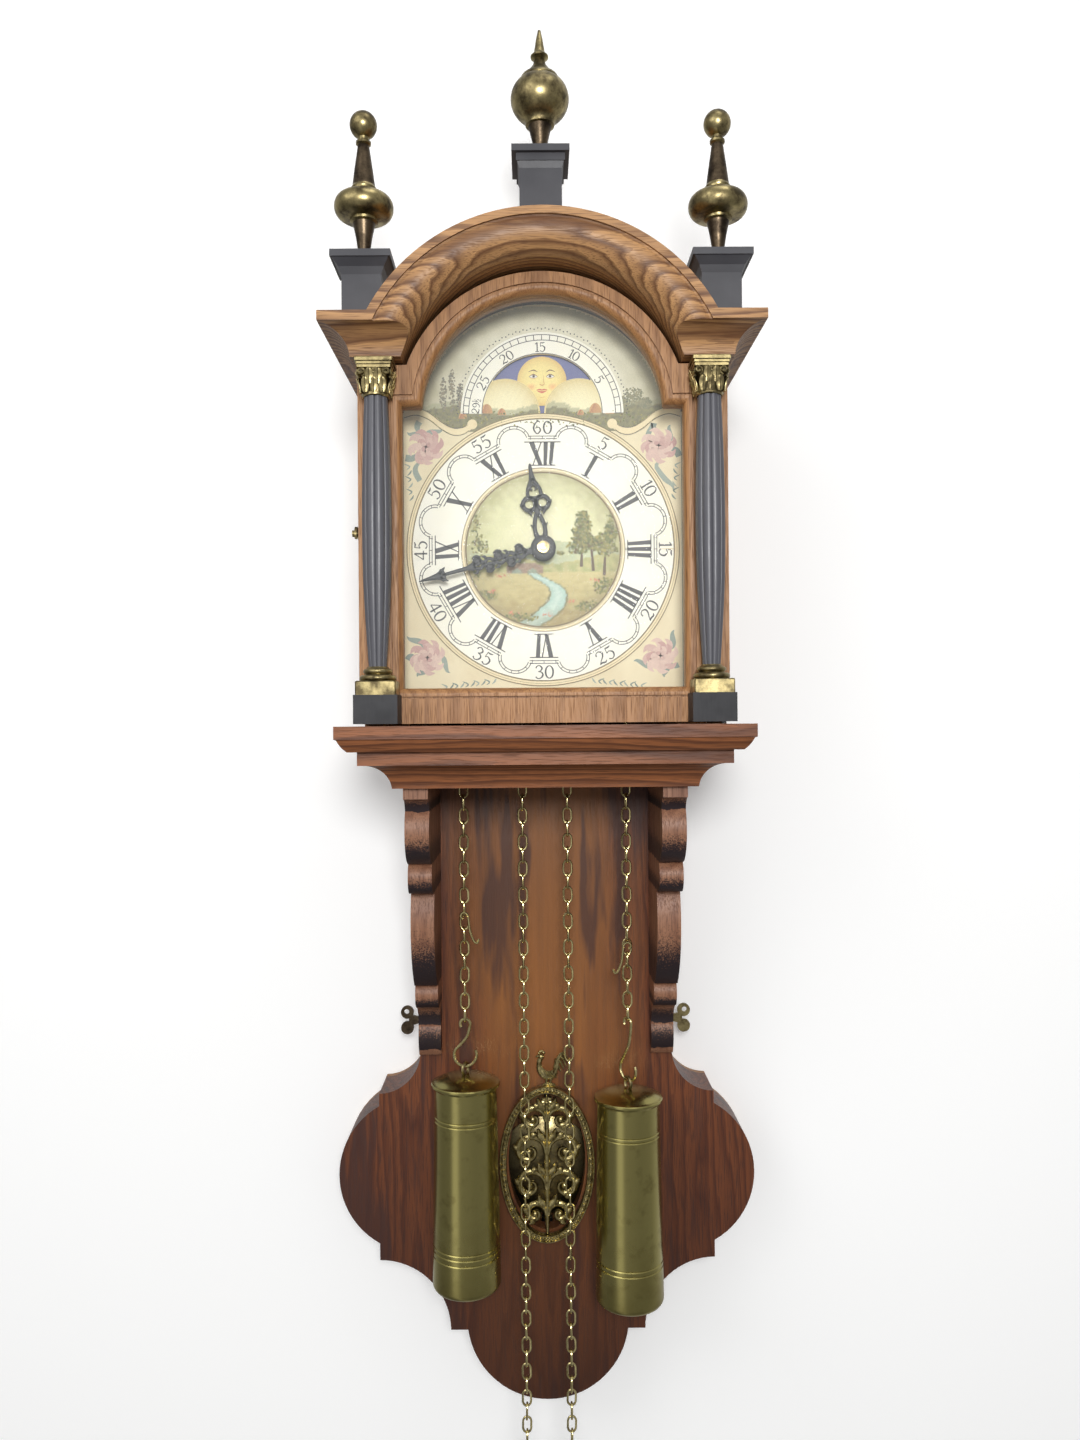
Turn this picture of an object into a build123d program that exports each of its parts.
"""Dutch tail wall clock: a small oak hood on a scalloped tail, with two brass weights on chains.

Millimetres. X is to the right seen from the front, the front faces -Y and the wall is the plane Y = 0.
Heights below are measured from the top of the base moulding, the hood's floor. write() lowers every
piece by HANGER_UP, so that the origin of the finished clock is the hanging hole in the back panel.
"""

import os
from math import asin, atan2, cos, degrees, pi, radians, sin, sqrt

from build123d import *

os.makedirs("parts", exist_ok=True)

HANGER_UP = 150.0  # the hanging hole above the hood's floor
HANGER_R = 4.0
RUNNING = 0.05  # radial clearance of a shaft in its hole

# Hood
BACK_T = 4.0  # back panel
HOOD_HALF = 81.0  # outside of the side panels
HOOD_FRONT = -88.0  # front edges of the side panels
SIDE_T = 8.0
SHOULDER_UP = 170.5  # flat shoulders of the roof
ARCH_UP = 134.1  # centre of the arched cornice
ARCH_R = 84.3  # its outer radius
ROOF_R = 82.0
ROOF_T = 3.0

# Cornice: a cove below a square fillet
CORNICE_FOOT = (83.1, 159.0)  # half width and height of the cove's foot
CORNICE_HALF = 94.85
FILLET_LOW, FILLET_TOP = 170.5, 174.7
CORNICE_PROUD = 27.95  # the front stands this much further out than the half width
DOOR_ARCH_GAP_R = 65.6  # opening of the cornice above the door
DOOR_ARCH_UP = 135.2

# Base moulding
BASE_PROUD = 32.3
BASE_FOOT = -27.5
BASE_FOOT_HALF = 67.6

# Tail
TAIL_FRONT = -31.0
TAIL_BOARD_T = 8.0
NECK_HALF = 63.2
TAIL_HALF = 104.3
TAIL_LOW = -338.5
CAVITY_HALF = 53.0
CAVITY_LOW = -272.0
BRACKET_T = 11.0
BRACKET_LOW = -164.0

# Door
DOOR_FRONT, DOOR_BACK = -103.0, -89.0
DOOR_LOW, DOOR_SHOULDER = 1.0, 158.0
DOOR_R = 63.7
PANE_HALF, PANE_LOW, PANE_EAR = 61.9, 16.5, 140.5
PANE_R, PANE_ARCH_UP = 53.2, 136.3
BEAD, BEAD_ROUND = 4.6, 3.0  # width of the moulded bead round the glass, and its rounding
GLASS_FRONT, GLASS_T = -97.0, 2.0
HINGE_X, HINGE_Y, HINGE_R = 77.0, -109.3, 1.2  # the door turns on two wire pins
HINGE_LONG = 6.5
LATCH_X, LATCH_UP = -HOOD_HALF, 85.5
LATCH_Y, LATCH_PIN_Y = -78.0, -96.0

# Columns
COLUMN_X, COLUMN_Y = 72.0, -109.0
SHAFT_LOW, SHAFT_HIGH = 25.6, 141.6
REEDS = 8
BLOCK_HALF, BLOCK_TOP, BLOCK_FRONT = 9.4, 13.4, -118.0
CAPITAL_TOP, CAPITAL_HALF = 157.3, 8.25

# Dial and hands
DIAL_FRONT, DIAL_T = -78.4, 1.2
DIAL_UP = 80.7
DIAL_HALF, DIAL_LOW, DIAL_ARCH_R = 66.5, 11.0, 57.5
MOON_UP, MOON_WINDOW_R, HUMP_X, HUMP_R = 143.5, 27.4, 17.0, 16.0
MOON_ORBIT, MOON_R = 15.4, 11.4
HOUR_ANGLE, MINUTE_ANGLE = 351.25, 255.0  # clockwise from twelve
HOUR_HAND_BACK, MINUTE_HAND_BACK, HAND_T = -80.2, -84.2, 0.9

# Movement
PLATE_HALF, PLATE_LOW, PLATE_TOP = 50.0, 9.0, 128.0
BELL_X, BELL_Y, BELL_UP, BELL_R = -24.0, -39.0, 137.0, 19.5
HAMMER_X, HAMMER_UP = 31.0, 112.0
PLATE_T = 1.5
BACK_PLATE, FRONT_PLATE = -24.0, -60.0  # back faces of the two plates
SPROCKET_X, SPROCKET_UP = 24.9, 55.0
PITCH = 6.35  # clock chain, 48 links to the foot
SPROCKET_LINKS = 14
SPROCKET_R = SPROCKET_LINKS * PITCH / (2 * pi)
CHAIN_Y = -55.0
WIRE = 1.05
LINK_WIDE = 4.7
LINK_INSIDE = PITCH / 2 + 0.03  # half the opening, a hair over the pitch so that links never share metal
GREAT_TEETH, CENTRE_PINION = 60, 12
CENTRE_TEETH, THIRD_PINION = 72, 8
THIRD_TEETH, ESCAPE_PINION = 68, 6
ESCAPE_TEETH, ESCAPE_R = 30, 10.4
THIRD_MODULE, ESCAPE_MODULE = 0.55, 0.5
ESCAPE_UP, ANCHOR_UP = 104.0, 118.0
PENDULUM_Y, PIVOT_PIN_R = -15.0, 0.9
BOB_UP, BOB_R = -228.0, 25.0

# Weights
WEIGHT_X = SPROCKET_X + SPROCKET_R
FREE_X = SPROCKET_X - SPROCKET_R
LIP_UP = {"left": -169.0, "right": -176.7}
FREE_LOW = -352.0
HOOK_R = 0.8

# Wing screws in the sides of the tail
WING_R, WING_Y, WING_UP = 1.5, -17.0, -151.4
WING_OUT, WING_LOBE_UP, WING_LOBE_R = 8.0, 4.0, 3.3

# Oval window in the tail
OVAL_UP, OVAL_W, OVAL_H = -218.8, 23.85, 39.0


def write(name, shape):
    export_step(Pos(0, 0, -HANGER_UP) * shape, f"parts/{name}.step")


def block(x0, x1, y0, y1, z0, z1):
    low = (min(x0, x1), min(y0, y1), min(z0, z1))
    size = (abs(x1 - x0), abs(y1 - y0), abs(z1 - z0))
    return Pos(*low) * Box(*size, align=(Align.MIN, Align.MIN, Align.MIN))


def outline(start, *moves):
    """A closed face. A point is a straight move, and a pair of points an arc through the first."""
    edges, here = [], start
    for move in moves:
        if isinstance(move[0], tuple):
            edges.append(ThreePointArc(here, *move))
            here = move[1]
        else:
            edges.append(Line(here, move))
            here = move
    if here != start:
        edges.append(Line(here, start))
    return make_face(edges)


def on_arc(centre, r, angle):
    a = radians(angle)
    return (centre[0] + r * cos(a), centre[1] + r * sin(a))


def mirrored(face):
    return face + mirror(face, Plane.YZ)


def front_on(face, back, front):
    """Extrudes a face drawn in X and height between two depths."""
    return extrude(Plane.XZ.offset(-back) * face, amount=back - front)


def side_on(face, x0, x1):
    """Extrudes a face drawn in depth and height between two X."""
    return extrude(Plane.YZ.offset(x0) * face, amount=x1 - x0)


def rod_y(x, up, r, back, front):
    return Pos(x, (back + front) / 2, up) * Rot(90, 0, 0) * Cylinder(r, back - front)


def tier(x, y, low, high, size):
    """A square slab between two heights."""
    return Pos(x, y, (low + high) / 2) * Box(size, size, high - low)


def flared(x, y, low, high, low_size, high_size):
    """A square length that widens or narrows with height."""
    sections = [Pos(x, y, low) * Rectangle(low_size, low_size), Pos(x, y, high) * Rectangle(high_size, high_size)]
    return loft(sections)


def rod_x(y, up, r, x0, x1):
    return Pos((x0 + x1) / 2, y, up) * Rot(0, 90, 0) * Cylinder(r, abs(x1 - x0))


def turned(x, y, profile):
    """A turning about a vertical axis. The profile starts on the axis and goes round."""
    face = outline(*profile)
    return Pos(x, y, 0) * revolve(Plane.XZ * face, Axis.Z)


def pair(shape):
    return shape + mirror(shape, Plane.YZ)


def shifted(profile, add):
    """Moves a profile outwards, its arcs too."""

    def point(p):
        return (p[0] + add, p[1])

    return [tuple(point(q) for q in p) if isinstance(p[0], tuple) else point(p) for p in profile]


def mitred(profile, proud, top, low):
    """A moulding round the front and both sides, whose outset at each height is the profile's."""
    half = outline((0, low), *profile, (0, top))
    sides = front_on(mirrored(half), 0, -200)
    deep = outline((0, low), *shifted(profile, proud), (0, top))
    front = side_on(mirror(deep, Plane.YZ), -150, 150)
    return sides & front


# Case

def arch_outline(half, low, shoulder, r, up):
    return outline((-half, low), (half, low), (half, shoulder), (-half, shoulder)) + Pos(0, up) * Circle(r)


def tail_outline():
    flare = (84.1, -164.0)
    lobe_r = 35.3
    bottom_r = 40.57
    bottom = (0, TAIL_LOW + bottom_r)
    half = outline(
        (0, -5),
        (NECK_HALF, -5),
        (NECK_HALF, flare[1]),
        (on_arc(flare, 20.65, 225), (flare[0], -184.65)),
        (84.1, -190.8),
        ((TAIL_HALF, -224.5), (84.1, -259.6)),
        (84.1, -268.0),
        (on_arc((84.1, -303.3), lobe_r, 135), (48.8, -303.3)),
        (40.2, -303.3),
        (on_arc(bottom, bottom_r, -45), (0, TAIL_LOW)),
    )
    return mirrored(half)


def back_panel():
    hood = arch_outline(HOOD_HALF, -5, SHOULDER_UP - ROOF_T, ROOF_R - ROOF_T, ARCH_UP)
    panel = front_on(hood, 0, -BACK_T) + front_on(tail_outline(), 0, -BACK_T)
    return panel - rod_y(0, HANGER_UP, HANGER_R, 1, -BACK_T - 1)


def hanger_plate():
    plate = front_on(Pos(0, HANGER_UP) * RectangleRounded(24, 34, 4), -BACK_T, -BACK_T - 1.5)
    plate -= rod_y(0, HANGER_UP, HANGER_R, 0, -10)
    screw_head = Rot(90, 0, 0) * Cone(2.6, 1.2, 1.2, align=(Align.CENTER, Align.CENTER, Align.MIN))
    for up in (HANGER_UP - 12, HANGER_UP + 12):
        plate += Pos(0, -BACK_T - 1.5, up) * screw_head
    return plate


def side_panels():
    panel = block(HOOD_HALF - SIDE_T, HOOD_HALF, -BACK_T, HOOD_FRONT, 0, SHOULDER_UP - ROOF_T)
    return pair(panel)


def roof_panel():
    outside = arch_outline(HOOD_HALF, ARCH_UP, SHOULDER_UP, ROOF_R, ARCH_UP)
    inside = arch_outline(HOOD_HALF + 1, 0, SHOULDER_UP - ROOF_T, ROOF_R - ROOF_T, ARCH_UP)
    shell = outside - inside
    return front_on(shell, 0, HOOD_FRONT)


def cornice():
    half, low = CORNICE_FOOT
    cove_mid = (half + 3.3, FILLET_LOW - 3.4)
    profile = [
        (half, low),
        (cove_mid, (CORNICE_HALF - 1.2, FILLET_LOW)),
        (CORNICE_HALF, FILLET_LOW),
        (CORNICE_HALF, FILLET_TOP),
    ]
    straight = mitred(profile, CORNICE_PROUD, FILLET_TOP, low)
    tall = mitred(profile[:3] + [(CORNICE_HALF, ARCH_UP + ARCH_R)], CORNICE_PROUD, ARCH_UP + ARCH_R, low)
    drum = rod_y(0, ARCH_UP, ARCH_R, -60, -200)
    front_y = -(CORNICE_HALF + CORNICE_PROUD)
    foot_y = -(half + CORNICE_PROUD)
    # The arched opening widens forward along the same cove.
    opening = outline(
        (0, 10),
        (DOOR_ARCH_GAP_R, 10),
        (DOOR_ARCH_GAP_R, foot_y),
        ((DOOR_ARCH_GAP_R + 3.4, foot_y - 8.4), (79.0, front_y + 1.2)),
        (79.9, front_y + 1.2),
        (79.9, front_y - 10),
        (0, front_y - 10),
    )
    bore = Pos(0, 0, DOOR_ARCH_UP) * revolve(opening, Axis.Y)
    rest = block(-HOOD_HALF, HOOD_HALF, 1, HOOD_FRONT, 0, 300)
    whole = (straight + (tall & drum)) - bore - rest
    return whole


def base_moulding():
    profile = [
        (BASE_FOOT_HALF, BASE_FOOT),
        ((BASE_FOOT_HALF + 3.6, -20.0), (79.6, -16.9)),
        (80.7, -16.9),
        (80.7, -11.0),
        (84.4, -11.0),
        ((86.4, -9.0), (88.2, -5.9)),
        (89.2, -5.5),
        (89.2, 0),
    ]
    whole = mitred(profile, BASE_PROUD, 0, BASE_FOOT)
    whole -= block(-NECK_HALF, NECK_HALF, 1, TAIL_FRONT, -40, -5)
    whole -= block(-56, 56, TAIL_FRONT - 1, -92, -40, -5)
    whole -= block(-HOOD_HALF, HOOD_HALF, 1, -108, -5, 1)
    return whole


def floor_slots(low, high):
    chain = block(5, 46, CHAIN_Y - 6, CHAIN_Y + 6, low - 1, high + 1)
    return chain + mirror(chain, Plane.YZ)


def floor_board():
    board = block(-HOOD_HALF, HOOD_HALF, -BACK_T, -108, -5, 0)
    board -= block(-20, 20, -8, -22, -6, 1)
    return board - floor_slots(-5, 0)


def seat_board():
    low, high = 3.0, PLATE_LOW
    board = block(-HOOD_HALF + SIDE_T, HOOD_HALF - SIDE_T, -22, -68, low, high) - floor_slots(low, high)
    for side in (-1, 1):
        x = side * (HOOD_HALF - SIDE_T)
        board += block(x, x - side * 10, -22, -68, 0, low)
    return board


def bracket():
    profile = outline(
        (TAIL_FRONT, BASE_FOOT),
        (-96, BASE_FOOT),
        (-96, -32.5),
        ((-91.2, -34.5), (-89, -38.5)),
        ((-91.6, -51), (-80.5, -63)),
        (-77.5, -63.6),
        ((-80.6, -70.5), (-75.5, -77.4)),
        (-67.5, -78.6),
        ((-69.6, -101), (-55.5, -124.6)),
        (-51.5, -125.4),
        ((-53.2, -131), (-48.5, -137)),
        ((-41, -141.5), (-38.5, -149)),
        ((-39.2, -155.5), (-35, BRACKET_LOW)),
        (TAIL_FRONT, BRACKET_LOW),
    )
    return side_on(profile, NECK_HALF - BRACKET_T, NECK_HALF)


def oval(w, h, up=OVAL_UP):
    return Pos(0, up) * Ellipse(w, h)


def tail_frame():
    frame = front_on(tail_outline(), -BACK_T, TAIL_FRONT + TAIL_BOARD_T)
    round_r = 26.0
    centre = (CAVITY_HALF - round_r, CAVITY_LOW + round_r)
    half = outline(
        (0, 0),
        (CAVITY_HALF, 0),
        (CAVITY_HALF, centre[1]),
        (on_arc(centre, round_r, 315), (centre[0], CAVITY_LOW)),
        (0, CAVITY_LOW),
    )
    frame -= front_on(mirrored(half), 0, -40)
    for side in (-1, 1):
        frame -= Pos(side * NECK_HALF, WING_Y, WING_UP) * Rot(0, 90, 0) * Cylinder(WING_R + RUNNING, 16)
    return frame


def tail_board():
    board = front_on(tail_outline(), TAIL_FRONT + TAIL_BOARD_T, TAIL_FRONT)
    return board - front_on(oval(OVAL_W - 4.5, OVAL_H - 4.5), 0, -40)


# Ornaments of the hood

def pedestal(x, y, low, cap_top, shaft, cap, tiers):
    """A square post under a moulded cap."""
    neck = cap_top - 9.2
    post = tier(x, y, low, neck, shaft) + tier(x, y, cap_top - 3, cap_top, cap)
    if tiers == 2:
        post += tier(x, y, cap_top - 6.4, cap_top - 3, cap - 4)
        return post + flared(x, y, neck, cap_top - 6.4, shaft, cap - 5)
    post += flared(x, y, neck, cap_top - 6.2, shaft, shaft + 2.4)
    return post + flared(x, y, cap_top - 6.2, cap_top - 3, shaft + 2.4, cap - 1.6)


def side_finial(x, y, up):
    profile = [
        (0, up),
        (4.75, up),
        (4.75, up + 1.6),
        (2.4, up + 2.4),
        (4.9, up + 16.6),
        (6.2, up + 18.0),
        (9.6, up + 19.2),
        ((13.0, up + 23.6), (9.6, up + 28.6)),
        (6.4, up + 30.0),
        (5.2, up + 31.4),
        (5.0, up + 33.0),
        (2.5, up + 51.0),
        (2.9, up + 54.75),
        ((6.0, up + 60.0), (0.8, up + 65.95)),
        (0, up + 65.95),
    ]
    return turned(x, y, profile)


def centre_finial(y, up):
    profile = [
        (0, up),
        (5.0, up),
        (5.0, up + 1.6),
        (3.0, up + 2.6),
        (5.4, up + 14.5),
        (8.4, up + 16.6),
        ((13.5, up + 27.2), (8.6, up + 37.4)),
        (6.4, up + 38.6),
        (3.0, up + 42.8),
        (2.4, up + 45.6),
        (4.1, up + 46.6),
        (3.2, up + 47.8),
        (2.6, up + 49.0),
        (0.7, up + 59.0),
        (0, up + 59.4),
    ]
    return turned(0, y, profile)


# Door

def pane(grow=0.0):
    """The glazed opening: a rectangle with ears under an arch."""
    return outline(
        (-PANE_HALF - grow, PANE_LOW - grow),
        (PANE_HALF + grow, PANE_LOW - grow),
        (PANE_HALF + grow, PANE_EAR + grow),
        (-PANE_HALF - grow, PANE_EAR + grow),
    ) + Pos(0, PANE_ARCH_UP) * Circle(PANE_R + grow)


def door_frame():
    shape = arch_outline(HOOD_HALF, DOOR_LOW, DOOR_SHOULDER, DOOR_R, DOOR_ARCH_UP)
    frame = front_on(shape, DOOR_BACK, DOOR_FRONT)
    frame -= front_on(pane(), DOOR_BACK + 1, DOOR_FRONT - 1)
    # A rounded bead edges the opening, and a quirk line sets it off from the flat of the frame.
    frame = fillet(bead_edges(frame), BEAD_ROUND)
    frame -= front_on(pane(BEAD) - pane(BEAD - 0.9), DOOR_FRONT + 1.0, DOOR_FRONT - 1)
    return frame - front_on(pane(1.5), DOOR_BACK + 1, GLASS_FRONT)


def bead_edges(frame):
    """The front edges of the opening: those on the door's face that lie within the frame's outside."""
    face = frame.edges().group_by(Axis.Y)[0]
    return [e for e in face if abs(e.center().X) < HOOD_HALF - 1 and on_pane(e)]


def on_pane(edge):
    x, up = edge.position_at(0.5).X, edge.position_at(0.5).Z
    near_side = abs(abs(x) - PANE_HALF) < 0.1 and up < PANE_EAR
    near_foot = abs(up - PANE_LOW) < 0.1
    near_ear = abs(up - PANE_EAR) < 0.1
    near_arch = abs(sqrt(x * x + (up - PANE_ARCH_UP) ** 2) - PANE_R) < 0.1
    return near_side or near_foot or near_ear or near_arch


def door_glass():
    return front_on(pane(1.3), GLASS_FRONT + GLASS_T, GLASS_FRONT)


def reeded(r, up):
    """One section of the reeded shaft."""
    groove = 0.86
    step = 360 / REEDS
    points = []
    for i in range(REEDS):
        middle = on_arc((0, 0), r, (i + 0.5) * step)
        points.append((middle, on_arc((0, 0), r * groove, (i + 1) * step)))
    return Pos(COLUMN_X, COLUMN_Y, up) * outline((r * groove, 0), *points)


def column():
    belly = SHAFT_HIGH - 0.45 * (SHAFT_HIGH - SHAFT_LOW)
    shaft = loft([reeded(3.9, SHAFT_LOW), reeded(6.1, belly - 26), reeded(6.45, belly)], ruled=True)
    return shaft + loft([reeded(6.45, belly), reeded(6.0, belly + 28), reeded(5.1, SHAFT_HIGH)], ruled=True)


def capital():
    top, wide = CAPITAL_TOP, 2 * CAPITAL_HALF
    bell = flared(COLUMN_X, COLUMN_Y, SHAFT_HIGH, top - 4.5, 11.0, wide - 1.9)
    for low, high, size in ((4.5, 3.2, wide - 1.9), (3.2, 2.0, wide - 1.2), (2.0, 0.0, wide)):
        bell += tier(COLUMN_X, COLUMN_Y, top - low, top - high, size)
    return bell


def column_base():
    rings = turned(
        COLUMN_X,
        COLUMN_Y,
        [
            (0, 19.4),
            (6.9, 19.4),
            ((8.0, 20.6), (6.9, 21.8)),
            (5.6, 22.6),
            ((6.4, 23.6), (5.0, 24.8)),
            (4.4, SHAFT_LOW),
            (0, SHAFT_LOW),
        ],
    )
    return rings + tier(COLUMN_X, COLUMN_Y, BLOCK_TOP, 19.4, 17.3)


def column_block():
    return block(COLUMN_X - BLOCK_HALF, COLUMN_X + BLOCK_HALF, DOOR_FRONT, BLOCK_FRONT, DOOR_LOW, BLOCK_TOP)


def hinged_pair(right, end):
    """Both columns' blocks or capitals. The right one has a blind hole for a hinge pin."""
    hole = Pos(HINGE_X, HINGE_Y, end) * Cylinder(HINGE_R + RUNNING, 2 * (HINGE_LONG - 0.5))
    return Compound(children=[right - hole, mirror(right, Plane.YZ)])


def with_column(shape):
    """The turned parts stand free of the door's face, so their backs are cut flat where they meet it."""
    return shape - block(COLUMN_X - 20, COLUMN_X + 20, DOOR_FRONT, -60, -10, 200)


# Dial, moon and hands

def dial_plate():
    shape = arch_outline(DIAL_HALF, DIAL_LOW, PANE_EAR + 3.5, DIAL_ARCH_R, PANE_ARCH_UP)
    window = Pos(0, MOON_UP) * Circle(MOON_WINDOW_R) & Pos(0, MOON_UP + 20) * Rectangle(80, 40)
    for side in (-1, 1):
        window -= Pos(side * HUMP_X, MOON_UP) * Circle(HUMP_R)
    plate = front_on(shape, DIAL_FRONT + DIAL_T, DIAL_FRONT)
    plate -= front_on(window, DIAL_FRONT + 3, DIAL_FRONT - 1)
    plate -= rod_y(0, DIAL_UP, 4.2, DIAL_FRONT + 3, DIAL_FRONT - 1)
    # Four feet hold the dial to the front plate of the movement.
    for x in (-38, 38):
        for up in (30, 114):
            plate += rod_y(x, up, 2.0, FRONT_PLATE - PLATE_T, DIAL_FRONT + DIAL_T)
    return plate


def moon_disc():
    back = DIAL_FRONT + DIAL_T + 1.6
    disc = rod_y(0, MOON_UP, MOON_WINDOW_R + 2.2, back, back - 0.8)
    disc += rod_y(0, MOON_UP, 1.5, FRONT_PLATE + 1.0, back)
    for side in (-1, 1):
        disc += rod_y(0, MOON_UP + side * MOON_ORBIT, MOON_R, back - 0.8, back - 1.1)
    return disc


def ring(x, up, outer, inner):
    return Pos(x, up) * (Circle(outer) - Circle(inner))


def both_sides(*points):
    """A closed outline from its right half, drawn upwards."""
    left = [(-x, up) for x, up in reversed(points) if x]
    return outline(*points, *left)


def hour_hand():
    """A stalk with a pair of leaves, two loops side by side, a third above them and a spear tip."""
    shape = ring(0, 0, 5.7, 3.4)
    shape += both_sides((1.0, 4.8), (1.4, 11.5), (4.6, 14.2), (1.6, 15.4), (1.4, 18.0))
    for side in (-1, 1):
        shape += ring(side * 3.5, 20.6, 3.8, 1.9)
    shape += ring(0, 26.2, 3.1, 1.5)
    shape += both_sides((1.3, 28.4), (2.7, 32.0), (0, 38.6))
    pipe = tube_y(3.4, 2.0 + RUNNING, -66.6, -82.0)
    return hand(shape, HOUR_ANGLE, HOUR_HAND_BACK) + pipe


def minute_hand():
    """A stalk, a serpent of four shrinking loops and a long arrow head."""
    shape = ring(0, 0, 5.7, 2.0)
    shape += both_sides((1.0, 4.8), (0.8, 12.0))
    for i, up in enumerate((14.0, 19.4, 24.6, 29.6)):
        shape += ring((-1) ** i * 1.1, up, 3.5 - 0.3 * i, 1.9 - 0.2 * i)
    shape += both_sides((1.0, 31.5), (0.7, 44.0), (2.9, 47.6), (0, 55.9))
    return hand(shape, MINUTE_ANGLE, MINUTE_HAND_BACK)


def hand(shape, angle, back):
    turned_face = Rot(0, 0, -angle) * shape
    return front_on(Pos(0, DIAL_UP) * turned_face, back, back - HAND_T)


def tube_y(outer, inner, back, front):
    return rod_y(0, DIAL_UP, outer, back, front) - rod_y(0, DIAL_UP, inner, back + 1, front - 1)


def hand_nut():
    nut = rod_y(0, DIAL_UP, 2.7, MINUTE_HAND_BACK - HAND_T, -87.0)
    return nut + rod_y(0, DIAL_UP, 1.6, -87.0, -88.2) - rod_y(0, DIAL_UP, 1.2, -84, -86.6)


# Movement

def wheel(x, up, teeth, module, back, thick, phase=0.0, crossings=4, depth=1.0):
    """A spur wheel with triangular-topped teeth and crossed-out spokes."""
    r = teeth * module / 2
    tip, root = r + 0.8 * module * depth, r - 1.1 * module
    step = 360 / teeth
    points = []
    for i in range(teeth):
        a = phase + i * step
        for radius, share in ((root, -0.30), (tip, -0.09), (tip, 0.09), (root, 0.30)):
            points.append(on_arc((0, 0), radius, a + share * step))
    face = outline(points[0], *points[1:])
    if crossings:
        rim, hub = root - 1.8, 4.0
        gap = 360 / crossings
        for i in range(crossings):
            a0, a1 = i * gap + 9 * 14 / rim, (i + 1) * gap - 9 * 14 / rim
            b0, b1 = i * gap + 28, (i + 1) * gap - 28
            middle = (i + 0.5) * gap
            face -= outline(
                on_arc((0, 0), hub, b0),
                on_arc((0, 0), rim, a0),
                (on_arc((0, 0), rim, middle), on_arc((0, 0), rim, a1)),
                on_arc((0, 0), hub, b1),
            )
    return front_on(Pos(x, up) * face, back, back - thick)


def mesh_phase(x, up, teeth, x2, up2, teeth2, phase2):
    """The phase that puts a tooth space of the first wheel at the second's tooth between their centres."""
    toward = degrees(atan2(up - up2, x - x2))  # from the second wheel to the first
    beyond = (toward - phase2) / (360 / teeth2) % 1.0
    here = toward + 180
    return here + (0.5 + beyond) * (360 / teeth)


def arbor(x, up, r, back, front, pivot=1.0):
    rod = rod_y(x, up, pivot, BACK_PLATE + 1, FRONT_PLATE - PLATE_T - 0.5)
    return rod + rod_y(x, up, r, back, front)


def third_place():
    """Where the third arbor stands, at its two centre distances."""
    a = (CENTRE_TEETH + THIRD_PINION) * THIRD_MODULE / 2
    b = (THIRD_TEETH + ESCAPE_PINION) * ESCAPE_MODULE / 2
    d = ESCAPE_UP - DIAL_UP
    z = (a * a - b * b + d * d) / (2 * d)
    return sqrt(a * a - z * z), DIAL_UP + z


def great_module():
    apart = sqrt(SPROCKET_X**2 + (DIAL_UP - SPROCKET_UP) ** 2)
    return 2 * apart / (GREAT_TEETH + CENTRE_PINION)


def movement_plate(back, holes):
    corners = Pos(0, (PLATE_LOW + PLATE_TOP) / 2) * RectangleRounded(2 * PLATE_HALF, PLATE_TOP - PLATE_LOW, 6)
    if back == FRONT_PLATE:
        corners += Pos(0, 136) * Rectangle(14, 32)
    plate = front_on(corners, back, back - PLATE_T)
    for x, up, r in holes:
        plate -= rod_y(x, up, r + RUNNING, back + 1, back - PLATE_T - 1)
    return plate


def plate_pillars():
    post = rod_y(46, 18, 2.6, BACK_PLATE - PLATE_T, FRONT_PLATE)
    high = rod_y(46, 119, 2.6, BACK_PLATE - PLATE_T, FRONT_PLATE)
    return Compound(children=[post, high, mirror(post, Plane.YZ), mirror(high, Plane.YZ)])


def sprocket(side):
    """Chain wheel: a grooved barrel with a tooth in every other link."""
    x = side * SPROCKET_X
    core = rod_y(x, SPROCKET_UP, 11.2, CHAIN_Y + 3.0, CHAIN_Y - 3.0)
    for y in (CHAIN_Y + 3.9, CHAIN_Y - 3.0):
        core += rod_y(x, SPROCKET_UP, 15.6, y, y - 0.9)
    teeth = SPROCKET_LINKS // 2
    for i in range(teeth):
        spike = Pos(12.9, 0, 0) * Box(4.4, 1.3, 2.6)
        core += Pos(x, CHAIN_Y, SPROCKET_UP) * Rot(0, -(i + 0.75) * 360 / teeth, 0) * spike
    return core - rod_y(x, SPROCKET_UP, 2.0 + RUNNING, -20, -80)


def great_wheel(side, back, phase):
    """A great wheel on the arbor that its chain wheel turns on."""
    x = side * SPROCKET_X
    body = wheel(x, SPROCKET_UP, GREAT_TEETH, great_module(), back, 2.0, phase, crossings=5)
    return body + arbor(x, SPROCKET_UP, 2.0, BACK_PLATE - PLATE_T - 0.5, FRONT_PLATE + 0.5)


def centre_wheel():
    body = wheel(0, DIAL_UP, CENTRE_TEETH, THIRD_MODULE, -41.0, 1.2, 0.0)
    body += wheel(0, DIAL_UP, CENTRE_PINION, great_module(), -44.0, 6.0, 0.0, crossings=0)
    body += wheel(0, DIAL_UP, 12, 0.5, -63.0, 3.0, 0.0, crossings=0)
    body += rod_y(0, DIAL_UP, 1.2, BACK_PLATE + 1, -86.4)
    body += rod_y(0, DIAL_UP, 2.0, BACK_PLATE - PLATE_T - 0.5, FRONT_PLATE + 0.5)
    return body + rod_y(0, DIAL_UP, 2.0, -62.0, MINUTE_HAND_BACK - HAND_T)


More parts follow.
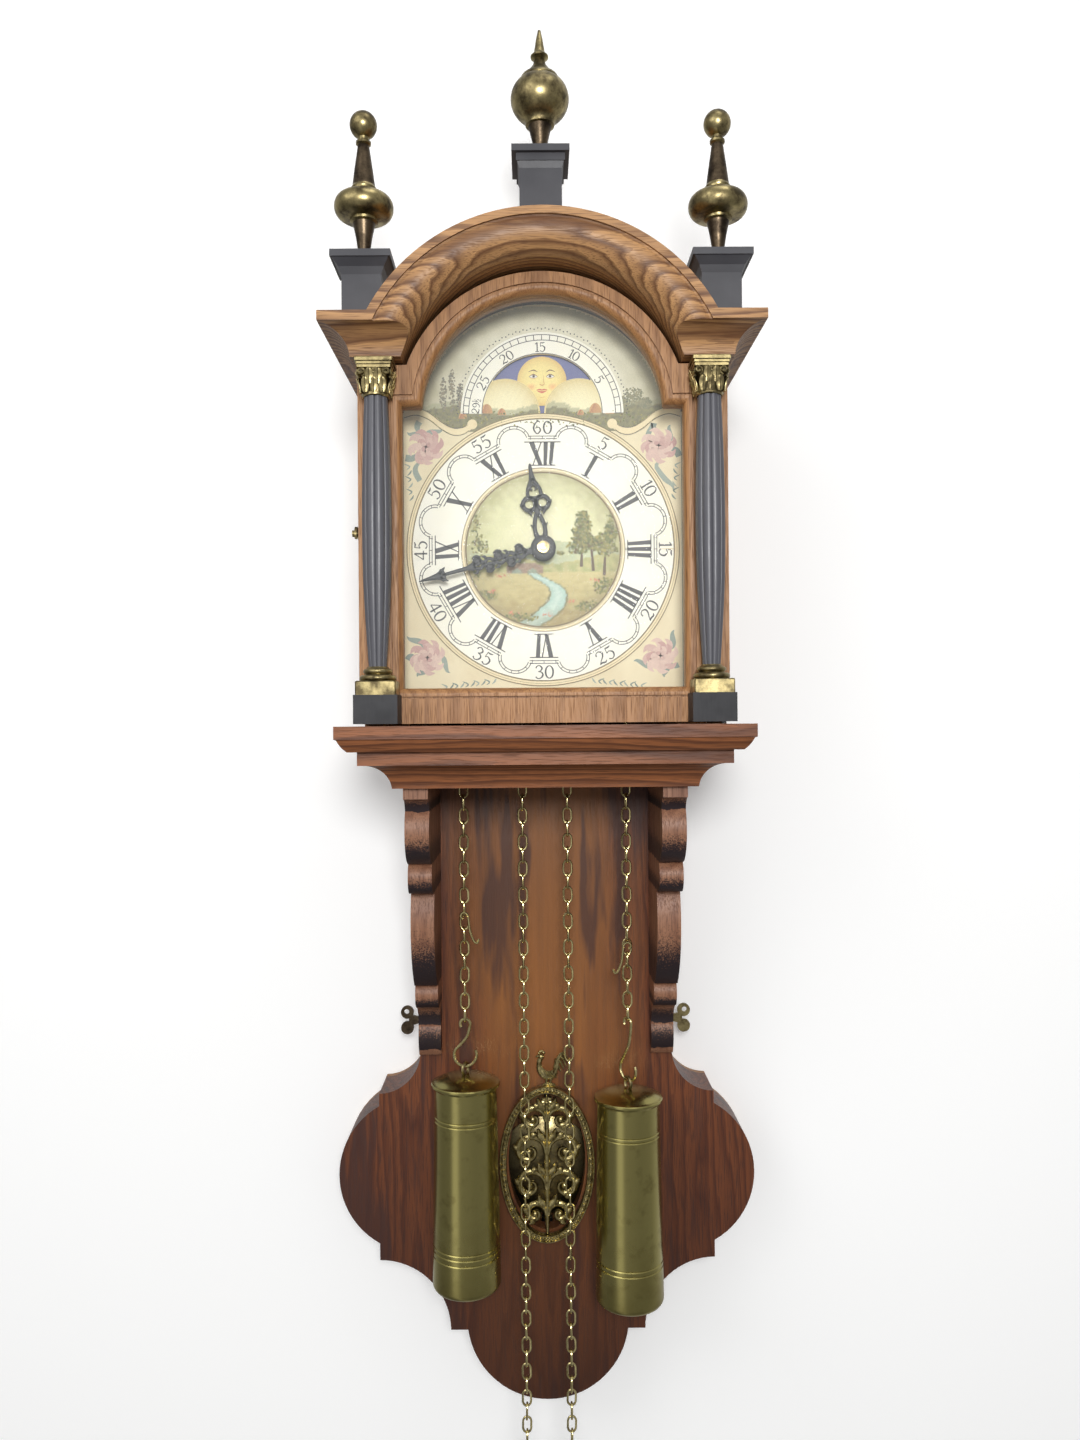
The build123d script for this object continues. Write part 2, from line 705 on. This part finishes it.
def third_wheel():
    x, up = third_place()
    phase = mesh_phase(x, up, THIRD_PINION, 0, DIAL_UP, CENTRE_TEETH, 0)
    pinion = wheel(x, up, THIRD_PINION, THIRD_MODULE, -39.5, 4.4, phase, crossings=0)
    body = pinion + wheel(x, up, THIRD_TEETH, ESCAPE_MODULE, -34.0, 1.2, 0.0, depth=0.8)
    return body + arbor(x, up, 1.3, BACK_PLATE - PLATE_T - 0.5, FRONT_PLATE + 0.5)


def escape_wheel():
    x, up = third_place()
    phase = mesh_phase(0, ESCAPE_UP, ESCAPE_PINION, x, up, THIRD_TEETH, 0)
    body = wheel(0, ESCAPE_UP, ESCAPE_PINION, ESCAPE_MODULE, -32.0, 4.4, phase, crossings=0, depth=0.6)
    step = 360 / ESCAPE_TEETH
    points = []
    for i in range(ESCAPE_TEETH):
        points += [on_arc((0, 0), ESCAPE_R, i * step), on_arc((0, 0), ESCAPE_R - 2.0, (i + 0.35) * step)]
    face = outline(points[0], *points[1:]) - ring(0, 0, 6.8, 2.6)
    face += Rectangle(15, 1.6) + Rectangle(1.6, 15)
    body += front_on(Pos(0, ESCAPE_UP) * face, -29.0, -30.2)
    return body + arbor(0, ESCAPE_UP, 1.2, BACK_PLATE - PLATE_T - 0.5, FRONT_PLATE + 0.5)


def anchor():
    """Recoil anchor, its arbor and the crutch behind the back plate."""
    drop = ANCHOR_UP - ESCAPE_UP
    arm = outline(
        (-2.4, 1.0),
        (-9.6, -3.0),
        (-11.3, -10.2),
        (-9.6, -10.6),
        (-7.6, -5.4),
        ((0, -1.9), (7.6, -5.4)),
        (9.6, -10.6),
        (11.3, -10.2),
        (9.6, -3.0),
        (2.4, 1.0),
    )
    arm -= Pos(0, -drop) * Circle(ESCAPE_R + 0.7)
    body = front_on(Pos(0, ANCHOR_UP) * arm, -28.0, -31.4)
    body += rod_y(0, ANCHOR_UP, 1.3, -27.0, FRONT_PLATE + 0.5)
    body += rod_y(0, ANCHOR_UP, 1.0, -17.4, FRONT_PLATE - PLATE_T - 0.5)
    body += block(-1.0, 1.0, -20.4, -21.6, 74, ANCHOR_UP + 2.4)
    for side in (-1, 1):
        body += block(side * 1.4, side * 2.3, -12.6, -21.6, 74, 76)
    return body + block(-2.3, 2.3, -20.4, -21.6, 74, 76)


def suspension_cock():
    """A bridge behind the back plate. Its slotted stud carries the pin of the suspension spring."""
    cock = block(-12, 12, -17.0, -18.5, 98, ANCHOR_UP + 4)
    for side in (-1, 1):
        cock += block(side * 12, side * 9, -17.0, BACK_PLATE, 98, ANCHOR_UP + 4)
    cock += block(-3.5, 3.5, -12.5, -17.0, ANCHOR_UP - 7, ANCHOR_UP + 2.5)
    cock -= block(-0.75, 0.75, -12, -16.6, ANCHOR_UP - 8, ANCHOR_UP)
    cock -= rod_y(0, ANCHOR_UP, PIVOT_PIN_R + RUNNING, -12, -16.6)
    return cock - rod_y(0, ANCHOR_UP, 1.0 + RUNNING, -16.9, -20)


def pendulum_rod():
    strip = block(-0.15, 0.15, -13.2, -16.4, 102, ANCHOR_UP)
    strip += rod_y(0, ANCHOR_UP, PIVOT_PIN_R, -12.9, -16.4)
    rod_low, nut_low = BOB_UP - 32, BOB_UP - 29.2
    rod = Pos(0, PENDULUM_Y, (102 + rod_low) / 2) * Cylinder(1.1, 102 - rod_low)
    nut = Pos(0, PENDULUM_Y, nut_low + 1.6) * Cylinder(2.8, 3.2)
    return strip + rod + nut


def pendulum_bob():
    back = outline((0, 0), (BOB_R, 0), (BOB_R, 1.0), ((14.5, 3.9), (0, 4.6)))
    lens = Pos(0, PENDULUM_Y + 2.4, BOB_UP) * Rot(90, 0, 0) * revolve(Plane.XZ * back, Axis.Z)
    lens += rod_y(0, BOB_UP, BOB_R - 3, PENDULUM_Y + 4.4, PENDULUM_Y + 2.4)
    return lens - Pos(0, PENDULUM_Y, BOB_UP) * Cylinder(1.1 + 0.05, 80)


def bell():
    x, y, mouth = BELL_X, BELL_Y, BELL_UP
    cup = turned(
        x,
        y,
        [
            (0, mouth + 17),
            ((13.4, mouth + 12.0), (BELL_R - 1, mouth)),
            (BELL_R, mouth),
            ((14.4, mouth + 13.0), (0, mouth + 18.4)),
        ],
    )
    stand = Pos(x, y, 124) * Cylinder(1.5, 36, align=(Align.CENTER, Align.CENTER, Align.MIN))
    stand += Pos(x, y, mouth + 18) * Cylinder(3.4, 2.6, align=(Align.CENTER, Align.CENTER, Align.MIN))
    stand += block(x - 5, x + 5, BACK_PLATE - PLATE_T, y - 4, 122.4, 124)
    stand += block(x - 5, x + 5, BACK_PLATE - PLATE_T, BACK_PLATE - PLATE_T - 1.5, 112, 124)
    return cup + stand


def hammer():
    x, up = HAMMER_X, HAMMER_UP
    body = rod_y(x, up, 1.0, BACK_PLATE + 1, FRONT_PLATE - PLATE_T - 0.5)
    body += rod_y(x, up, 1.8, BACK_PLATE - PLATE_T - 0.5, FRONT_PLATE + 0.5)
    tip = (BELL_X + BELL_R + 1.2 + 3.5, BELL_UP + 3)
    angle = degrees(atan2(tip[0] - x, tip[1] - up))
    length = sqrt((tip[0] - x) ** 2 + (tip[1] - up) ** 2)
    arm = Box(1.8, 1.8, length, align=(Align.CENTER, Align.CENTER, Align.MIN))
    body += Pos(x, BELL_Y, up) * Rot(0, angle, 0) * arm
    head = Pos(tip[0], BELL_Y, tip[1]) * Rot(0, 90, 0) * Cylinder(3.6, 7.0)
    return body + head


def hour_wheel():
    body = wheel(0, DIAL_UP, 40, 0.48, -67.0, 1.2, mesh_phase(0, DIAL_UP, 40, *minute_place(), 10, 0), 0)
    return body - rod_y(0, DIAL_UP, 3.4, -60, -90)


def minute_place():
    return (-12 * sin(radians(40)), DIAL_UP - 12 * cos(radians(40)))


def minute_wheel():
    x, up = minute_place()
    body = wheel(x, up, 36, 0.5, -63.4, 1.2, mesh_phase(x, up, 36, 0, DIAL_UP, 12, 0), crossings=0)
    body += wheel(x, up, 10, 0.48, -64.6, 4.6, 0.0, crossings=0)
    return body + rod_y(x, up, 1.0, FRONT_PLATE + 0.5, -71.0)


# Chains and weights

def link(flat):
    """One chain link standing upright: its broad side faces the front, or the side where flat is False."""
    high = PITCH + 2 * WIRE
    body = Box(LINK_WIDE, WIRE, high) - Box(LINK_WIDE - 2 * WIRE, 2, 2 * LINK_INSIDE)
    return body if flat else Rot(0, 0, 90) * body


def strand(x, top, low):
    """Links at the chain's pitch, downward from the first link's centre. The last is edge on to the front."""
    count = 2 * int((top - low) / (2 * PITCH)) + 1
    links = [Pos(x, CHAIN_Y, top - i * PITCH) * link(i % 2 == 1) for i in range(count)]
    return links, top - (count - 1) * PITCH


def weight_chain(side):
    name = "left" if side < 0 else "right"
    low = LIP_UP[name] + 5.5 + 23.0 + 1.0
    links, last = strand(side * WEIGHT_X, SPROCKET_UP - PITCH / 2, low)
    return Compound(children=links), last


def free_chain(side):
    links, last = strand(side * FREE_X, SPROCKET_UP - PITCH / 2, FREE_LOW)
    end = Pos(side * FREE_X, CHAIN_Y, last - PITCH / 2 - 4.9) * Rot(90, 0, 0) * Torus(5.0, 0.8)
    return Compound(children=[*links, end])


def chain_turn(side):
    """The seven links that lie on the chain wheel."""
    links = []
    for i in range(SPROCKET_LINKS // 2):
        a = (i + 0.5) * 360 / SPROCKET_LINKS
        at = Pos(side * SPROCKET_X, CHAIN_Y, SPROCKET_UP) * Rot(0, -a, 0) * Pos(SPROCKET_R, 0, 0)
        links.append(at * link(False if i % 2 else True))
    return Compound(children=links)


def s_hook(side, last):
    """Wire hook from the chain's last link down to the weight's eye: two loops and their common tangent."""
    name = "left" if side < 0 else "right"
    small, large = 2.4, 5.4
    seat = last - LINK_INSIDE  # top of the last link's lower bar
    upper = (0.0, seat + 0.15 + HOOK_R - small)
    lower = (0.0, LIP_UP[name] + 5.4 + large)
    lean = degrees(asin((small + large) / (upper[1] - lower[1])))
    top = ThreePointArc(on_arc(upper, small, 215), on_arc(upper, small, 90), on_arc(upper, small, -lean))
    middle = Line(on_arc(upper, small, -lean), on_arc(lower, large, 180 - lean))
    foot_start = on_arc(lower, large, 180 - lean)
    foot = ThreePointArc(foot_start, on_arc(lower, large, 270), on_arc(lower, large, 20))
    wire = Wire([top, middle, foot])
    tube = sweep(Plane(origin=wire @ 0, z_dir=wire % 0) * Circle(HOOK_R), path=wire)
    return Pos(side * WEIGHT_X, CHAIN_Y, 0) * Plane.XZ.location * tube


def weight(side):
    name = "left" if side < 0 else "right"
    up = LIP_UP[name]
    profile = [
        (0, up + 1.6),
        ((9.0, up + 0.9), (14.6, up - 1.2)),
        (16.5, up - 1.9),
        (16.5, up - 3.4),
        (14.9, up - 4.6),
        (16.35, up - 96.0),
        ((15.4, up - 99.4), (12.5, up - 100.4)),
        (0, up - 100.4),
    ]
    body = turned(side * WEIGHT_X, CHAIN_Y, profile)
    eye = Pos(side * WEIGHT_X, CHAIN_Y, up + 4.2) * Rot(0, 90, 0) * Torus(2.9, 0.8)
    return body + eye


# Small fittings

def wing_screw():
    """A screw with two round lobes for the fingers, the upper one pierced."""
    out = NECK_HALF + WING_OUT
    along = Pos(0, WING_Y, WING_UP) * Rot(0, 90, 0)
    shank = along * Pos(0, 0, NECK_HALF - 2.5) * Cylinder(WING_R, 10)
    collar = along * Pos(0, 0, NECK_HALF + 0.85) * Cylinder(2.6, 1.6)
    wings = Pos(out, WING_UP + WING_LOBE_UP) * Circle(WING_LOBE_R)
    wings += Pos(out, WING_UP - WING_LOBE_UP) * Circle(WING_LOBE_R)
    wings += outline(
        (NECK_HALF + 1.4, WING_UP - 1.6),
        (out - 0.8, WING_UP - 3.0),
        (out - 0.8, WING_UP + 3.0),
        (NECK_HALF + 1.4, WING_UP + 1.6),
    )
    wings -= Pos(out + 0.3, WING_UP + WING_LOBE_UP + 0.3) * Circle(1.3)
    return shank + collar + front_on(wings, WING_Y + 0.7, WING_Y - 0.7)


def latch_hook():
    arm = outline(
        (LATCH_Y + 2.4, LATCH_UP + 1.8),
        (LATCH_Y + 2.4, LATCH_UP - 1.8),
        (LATCH_PIN_Y + 2.6, LATCH_UP - 1.2),
        (LATCH_PIN_Y + 1.3, LATCH_UP - 1.6),
        (LATCH_PIN_Y + 1.3, LATCH_UP + 0.3),
        ((LATCH_PIN_Y, LATCH_UP + 1.4), (LATCH_PIN_Y - 1.3, LATCH_UP + 0.3)),
        (LATCH_PIN_Y - 1.3, LATCH_UP - 2.6),
        (LATCH_PIN_Y - 2.9, LATCH_UP - 2.0),
        ((LATCH_PIN_Y - 1.6, LATCH_UP + 2.6), (LATCH_PIN_Y + 3.0, LATCH_UP + 1.4)),
    )
    body = side_on(arm, LATCH_X - 2.4, LATCH_X - 1.4)
    return body + rod_x(LATCH_Y, LATCH_UP, 1.9, LATCH_X - 0.1, LATCH_X - 3.4)


def latch_pin():
    pin = rod_x(LATCH_PIN_Y, LATCH_UP, 0.9, LATCH_X, LATCH_X - 3.0)
    return pin + rod_x(LATCH_PIN_Y, LATCH_UP, 1.5, LATCH_X - 2.9, LATCH_X - 3.7)


def hinge_pins():
    """Pins that stand on the base moulding and hang from the cornice, and enter the right column."""
    pins = []
    for end, middle in ((0, HINGE_LONG / 2), (CORNICE_FOOT[1], CORNICE_FOOT[1] - HINGE_LONG / 2)):
        pins.append(Pos(HINGE_X, HINGE_Y, middle) * Cylinder(HINGE_R, HINGE_LONG))
    return Compound(children=pins)


def scroll(side, up, r, width):
    """A spiral that leaves the window's middle bar: a wide arc that curls on into a smaller one."""
    start, turn, inner = 90 - side * 60, side * 250, 0.5 * r
    centre = (side * (r + 0.3), up)
    curl = on_arc(centre, r - inner, start + turn)
    face = SlotArc(CenterArc(centre, r, start, turn), width)
    return face + SlotArc(CenterArc(curl, inner, start + turn - side * 8, side * 230), width - 0.2)


def pendulum_window():
    """Cast oval frame with a cockerel on top and pierced leaf scrolls inside."""
    rim = front_on(oval(OVAL_W, OVAL_H) - oval(OVAL_W - 3.6, OVAL_H - 3.6), TAIL_FRONT, -36.0)
    rim += front_on(oval(OVAL_W - 1.0, OVAL_H - 1.0) - oval(OVAL_W - 2.9, OVAL_H - 2.9), -36.0, -37.6)
    net = Pos(0, OVAL_UP) * Rectangle(1.8, 2 * OVAL_H - 6)
    for up, r in ((22, 7.0), (6, 9.0), (-11, 8.4), (-25, 6.0)):
        for side in (-1, 1):
            net += scroll(side, OVAL_UP + up, r, 1.7)
            net += Pos(side * (2 * r + 2.6), OVAL_UP + up) * Circle(1.7)
    grille = front_on(net & oval(OVAL_W - 2, OVAL_H - 2), -32.4, -34.6)
    return rim + grille + front_on(cockerel(), -33.0, -36.0)


def cockerel():
    """A cockerel's outline, facing left, on the top of the oval."""
    top = OVAL_UP + OVAL_H
    bird = outline(
        (-1.5, top - 1.5),
        (1.5, top - 1.5),
        (2.4, top + 3.2),
        ((6.0, top + 4.0), (7.6, top + 9.6)),
        ((6.6, top + 12.6), (4.0, top + 12.2)),
        ((3.4, top + 9.0), (1.4, top + 8.4)),
        ((-1.2, top + 9.4), (-1.8, top + 14.2)),
        ((-2.8, top + 17.4), (-4.6, top + 16.6)),
        (-7.4, top + 14.6),
        (-4.8, top + 13.6),
        ((-5.4, top + 8.0), (-2.2, top + 3.4)),
    )
    comb = outline(
        (-5.6, top + 16.2),
        (-4.9, top + 19.0),
        (-3.8, top + 17.2),
        (-2.8, top + 18.8),
        (-2.2, top + 15.8),
    )
    return bird + comb


def build():
    side_ped_y, centre_ped_y = -100.0, -80.0
    caps = {"side": 204.7, "centre": 260.3}
    write("back_panel", back_panel())
    write("hanger_plate", hanger_plate())
    write("side_panels", side_panels())
    write("roof_panel", roof_panel())
    write("cornice", cornice())
    write("base_moulding", base_moulding())
    write("floor_board", floor_board())
    write("seat_board", seat_board())
    write("brackets", pair(bracket()))
    write("tail_frame", tail_frame())
    write("tail_board", tail_board())
    side_post = pedestal(78, side_ped_y, FILLET_TOP, caps["side"], 17.3, 26.1, 1)
    write("side_pedestals", pair(side_post - front_drum()))
    centre_low = ARCH_UP + sqrt(ROOF_R**2 - 9.6**2)
    centre_post = pedestal(0, centre_ped_y, centre_low, caps["centre"], 19.2, 26.1, 2)
    write("centre_pedestal", centre_post - front_drum())
    write("side_finials", pair(side_finial(78, side_ped_y, caps["side"])))
    write("centre_finial", centre_finial(centre_ped_y, caps["centre"]))

    write("door_frame", door_frame())
    write("door_glass", door_glass())
    write("columns", pair(with_column(column())))
    write("capitals", hinged_pair(with_column(capital()), CAPITAL_TOP))
    write("column_bases", pair(with_column(column_base())))
    write("column_blocks", hinged_pair(column_block(), DOOR_LOW))
    write("hinge_pins", hinge_pins())
    write("latch_pin", latch_pin())
    write("latch_hook", latch_hook())

    write("dial_plate", dial_plate())
    write("moon_disc", moon_disc())
    write("hour_hand", hour_hand())
    write("minute_hand", minute_hand())
    write("hand_nut", hand_nut())

    third = third_place()
    trains = [(side * SPROCKET_X, SPROCKET_UP, 1.0) for side in (-1, 1)]
    shared = [*trains, (0, DIAL_UP, 1.2), (*third, 1.0), (0, ESCAPE_UP, 1.0), (HAMMER_X, HAMMER_UP, 1.0)]
    front_only = [(0, ANCHOR_UP, 1.0), (*minute_place(), 1.0), (0, MOON_UP, 1.5)]
    write("front_plate", movement_plate(FRONT_PLATE, shared + front_only))
    write("back_plate", movement_plate(BACK_PLATE, [*shared, (0, ANCHOR_UP, 3.0)]))
    write("plate_pillars", plate_pillars())
    write("suspension_cock", suspension_cock())
    great = great_module()
    phase = mesh_phase(-SPROCKET_X, SPROCKET_UP, GREAT_TEETH, 0, DIAL_UP, CENTRE_PINION, 0)
    write("going_great_wheel", great_wheel(-1, -46.0, phase))
    write("strike_great_wheel", great_wheel(1, -36.0, 0.0))
    write("centre_wheel", centre_wheel())
    write("third_wheel", third_wheel())
    write("escape_wheel", escape_wheel())
    write("anchor", anchor())
    write("pendulum_rod", pendulum_rod())
    write("pendulum_bob", pendulum_bob())
    write("bell", bell())
    write("hammer", hammer())
    write("hour_wheel", hour_wheel())
    write("minute_wheel", minute_wheel())

    for side, name in ((-1, "left"), (1, "right")):
        write(f"sprocket_{name}", sprocket(side))
        write(f"chain_turn_{name}", chain_turn(side))
        chain, last = weight_chain(side)
        write(f"weight_chain_{name}", chain)
        write(f"free_chain_{name}", free_chain(side))
        write(f"s_hook_{name}", s_hook(side, last))
        write(f"weight_{name}", weight(side))
    write("wing_screw_right", wing_screw())
    write("wing_screw_left", mirror(wing_screw(), Plane.YZ))
    write("pendulum_window", pendulum_window())


def front_drum():
    """What the arched cornice and roof take out of the centre pedestal's foot."""
    return rod_y(0, ARCH_UP, ARCH_R, HOOD_FRONT, -200) + rod_y(0, ARCH_UP, ROOF_R, 0, HOOD_FRONT)


build()
